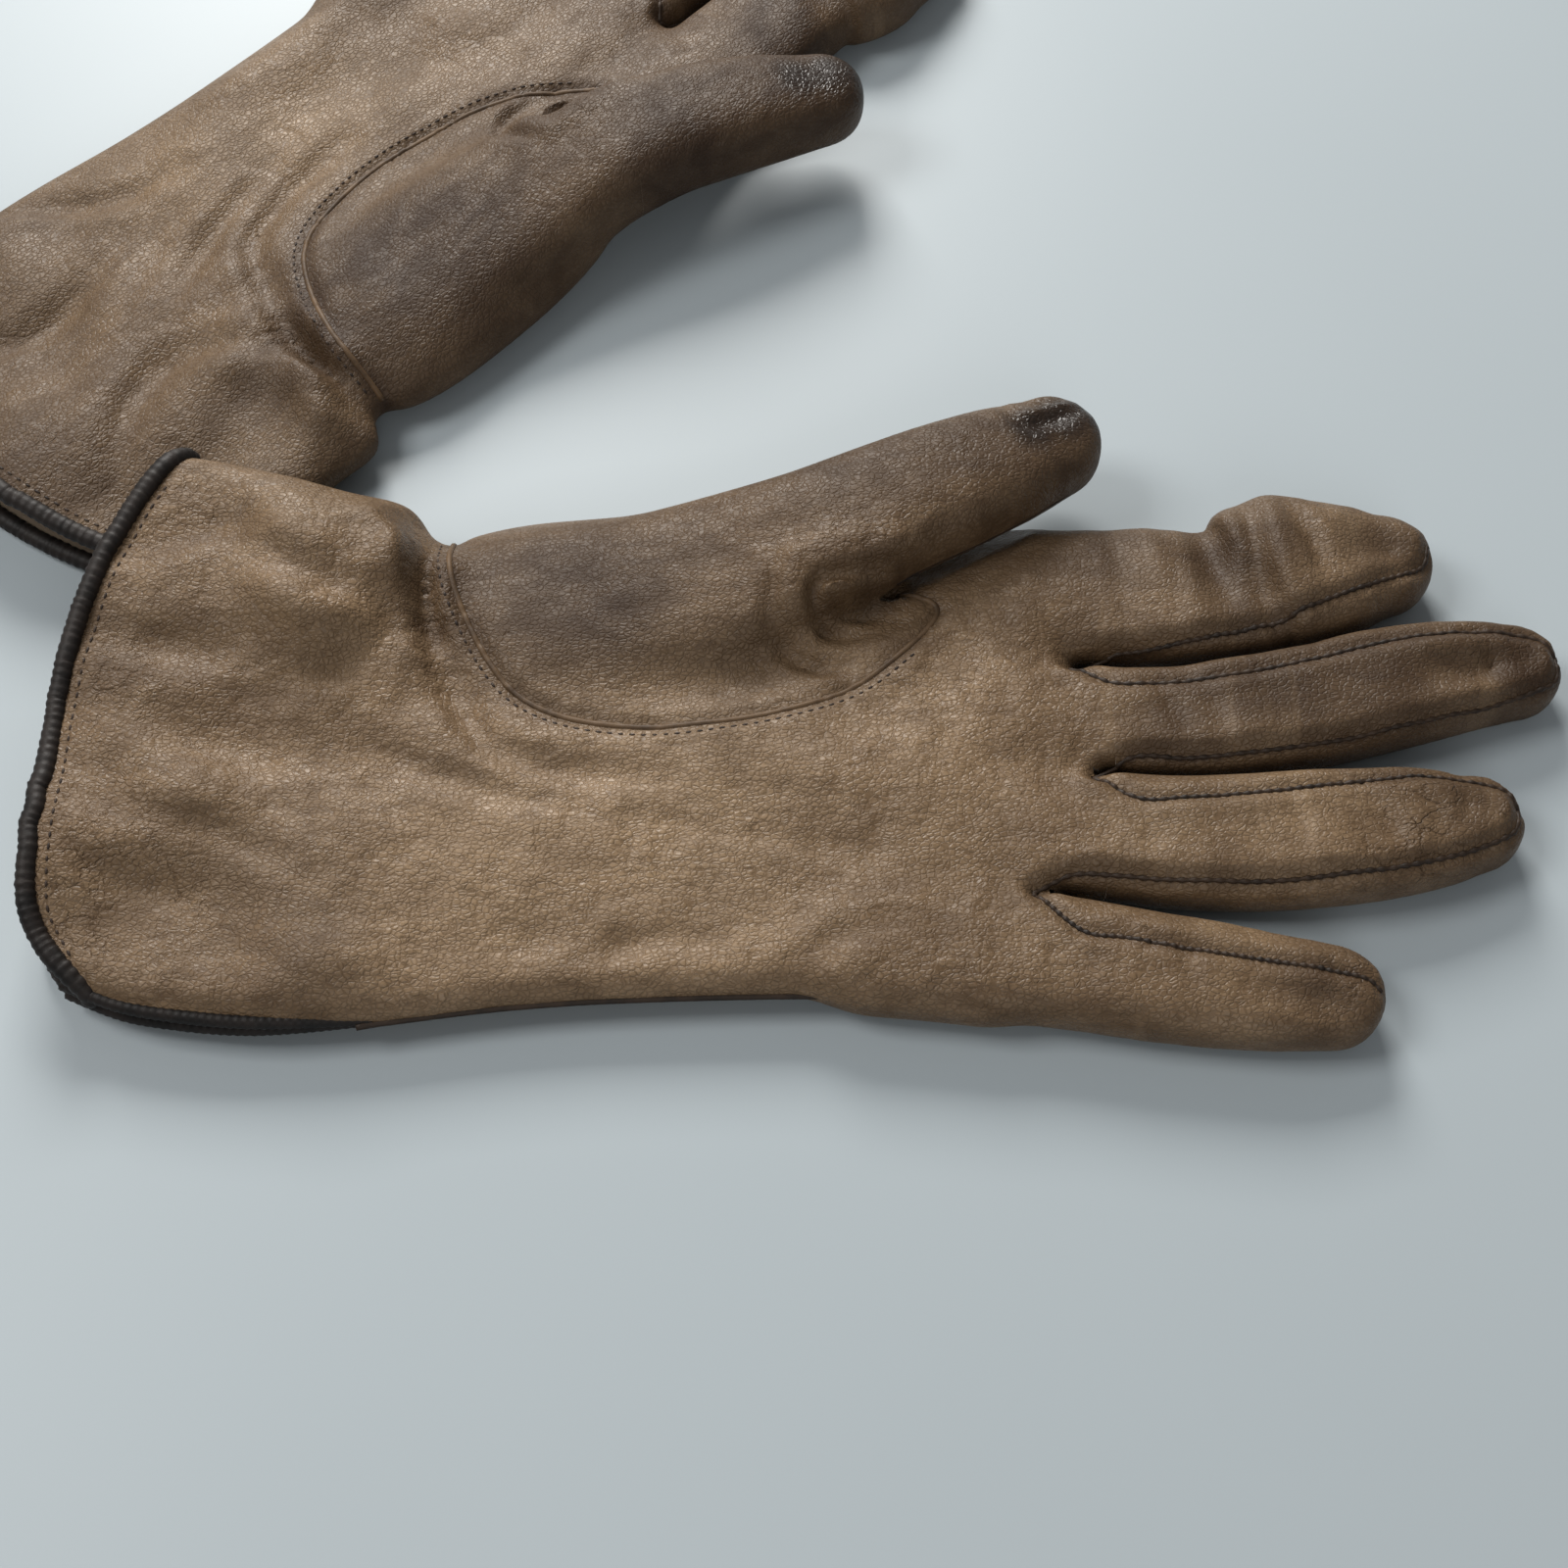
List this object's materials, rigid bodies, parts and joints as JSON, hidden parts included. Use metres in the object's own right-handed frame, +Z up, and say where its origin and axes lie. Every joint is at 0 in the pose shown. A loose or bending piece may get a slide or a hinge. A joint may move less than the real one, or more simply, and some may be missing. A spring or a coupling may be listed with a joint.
{
  "type": "leather glove pair",
  "caption": "Pair of soft leather gloves lying palm up, one partly over the other, with bound vented cuffs, oval-set thumbs, side strips between the fingers and fingers that curl.",
  "frame": {"origin": "on the surface that the gloves lie on, under the middle of the pair's box", "axes": "+X along the upper (left) glove from its wrist to its fingertips, +Y towards its thumb side, +Z up out of the palms"},
  "size_m": [0.2552, 0.245, 0.0215],
  "materials": {
    "glove_leather": "soft sheen, fine grain",
    "side_leather": "soft sheen, fine grain",
    "dark_edge": "rolled dark edge, satin",
    "thread": "matt thread"
  },
  "bodies": {
    "right_hand": {"right_hand": "glove_leather", "right_cuff_binding": "dark_edge", "right_side_seam": "dark_edge", "right_cuff_stitching": "thread", "right_thumb_gusset": "glove_leather", "right_thumb_welt": "dark_edge", "right_thumb_stitching": "thread"},
    "right_index": {"right_index_ulnar_fourchette": "side_leather", "right_index_wrap": "glove_leather"},
    "right_middle": {"right_middle_radial_fourchette": "side_leather", "right_middle_ulnar_fourchette": "side_leather", "right_middle_palm_strip": "glove_leather", "right_middle_back_strip": "glove_leather"},
    "right_ring": {"right_ring_radial_fourchette": "side_leather", "right_ring_ulnar_fourchette": "side_leather", "right_ring_palm_strip": "glove_leather", "right_ring_back_strip": "glove_leather"},
    "right_little": {"right_little_radial_fourchette": "side_leather", "right_little_palm_strip": "glove_leather", "right_little_back_strip": "glove_leather", "right_little_outer_seam": "dark_edge"},
    "right_thumb": {"right_thumb": "glove_leather", "right_thumb_seam": "dark_edge"},
    "left_hand": {"left_hand": "glove_leather", "left_cuff_binding": "dark_edge", "left_side_seam": "dark_edge", "left_cuff_stitching": "thread", "left_thumb_gusset": "glove_leather", "left_thumb_welt": "dark_edge", "left_thumb_stitching": "thread"},
    "left_index": {"left_index_ulnar_fourchette": "side_leather", "left_index_wrap": "glove_leather"},
    "left_middle": {"left_middle_radial_fourchette": "side_leather", "left_middle_ulnar_fourchette": "side_leather", "left_middle_palm_strip": "glove_leather", "left_middle_back_strip": "glove_leather"},
    "left_ring": {"left_ring_radial_fourchette": "side_leather", "left_ring_ulnar_fourchette": "side_leather", "left_ring_palm_strip": "glove_leather", "left_ring_back_strip": "glove_leather"},
    "left_little": {"left_little_radial_fourchette": "side_leather", "left_little_palm_strip": "glove_leather", "left_little_back_strip": "glove_leather", "left_little_outer_seam": "dark_edge"},
    "left_thumb": {"left_thumb": "glove_leather", "left_thumb_seam": "dark_edge"}
  },
  "joints": [
    {"name": "left_glove_lift", "type": "slide", "parent": "right_hand", "child": "left_hand", "axis": [0, 0, 1], "range_m": [0, 0.1]},
    {"name": "left_index_curl", "type": "hinge", "parent": "left_hand", "child": "left_index", "pos_m": [0.06085, -0.05439, 0.0095], "axis": [0.108, -0.9942, 0], "range_deg": [0, 80]},
    {"name": "left_middle_curl", "type": "hinge", "parent": "left_hand", "child": "left_middle", "pos_m": [0.06235, -0.07529, 0.0095], "axis": [0.1564, -0.9877, 0], "range_deg": [0, 80]},
    {"name": "left_ring_curl", "type": "hinge", "parent": "left_hand", "child": "left_ring", "pos_m": [0.06085, -0.09349, 0.0095], "axis": [0.0436, -0.999, 0], "range_deg": [0, 80]},
    {"name": "left_little_curl", "type": "hinge", "parent": "left_hand", "child": "left_little", "pos_m": [0.05285, -0.11129, 0.009], "axis": [-0.0872, -0.9962, 0], "range_deg": [0, 80]},
    {"name": "left_thumb_curl", "type": "hinge", "parent": "left_hand", "child": "left_thumb", "pos_m": [0.02735, -0.04889, 0.0215], "axis": [0.454, -0.891, 0], "range_deg": [0, 60]},
    {"name": "right_index_curl", "type": "hinge", "parent": "right_hand", "child": "right_index", "pos_m": [0.01101, 0.0525, 0.0095], "axis": [0.6921, -0.7218, 0], "range_deg": [0, 80]},
    {"name": "right_middle_curl", "type": "hinge", "parent": "right_hand", "child": "right_middle", "pos_m": [-0.00404, 0.06708, 0.0095], "axis": [0.6561, -0.7547, 0], "range_deg": [0, 80]},
    {"name": "right_ring_curl", "type": "hinge", "parent": "right_hand", "child": "right_ring", "pos_m": [-0.01894, 0.07763, 0.0095], "axis": [0.7373, -0.6756, 0], "range_deg": [0, 80]},
    {"name": "right_little_curl", "type": "hinge", "parent": "right_hand", "child": "right_little", "pos_m": [-0.03772, 0.08295, 0.009], "axis": [0.8192, -0.5736, 0], "range_deg": [0, 80]},
    {"name": "right_thumb_curl", "type": "hinge", "parent": "right_hand", "child": "right_thumb", "pos_m": [-0.00631, 0.0233, 0.0215], "axis": [0.3907, -0.9205, 0], "range_deg": [0, 60]}
  ]
}
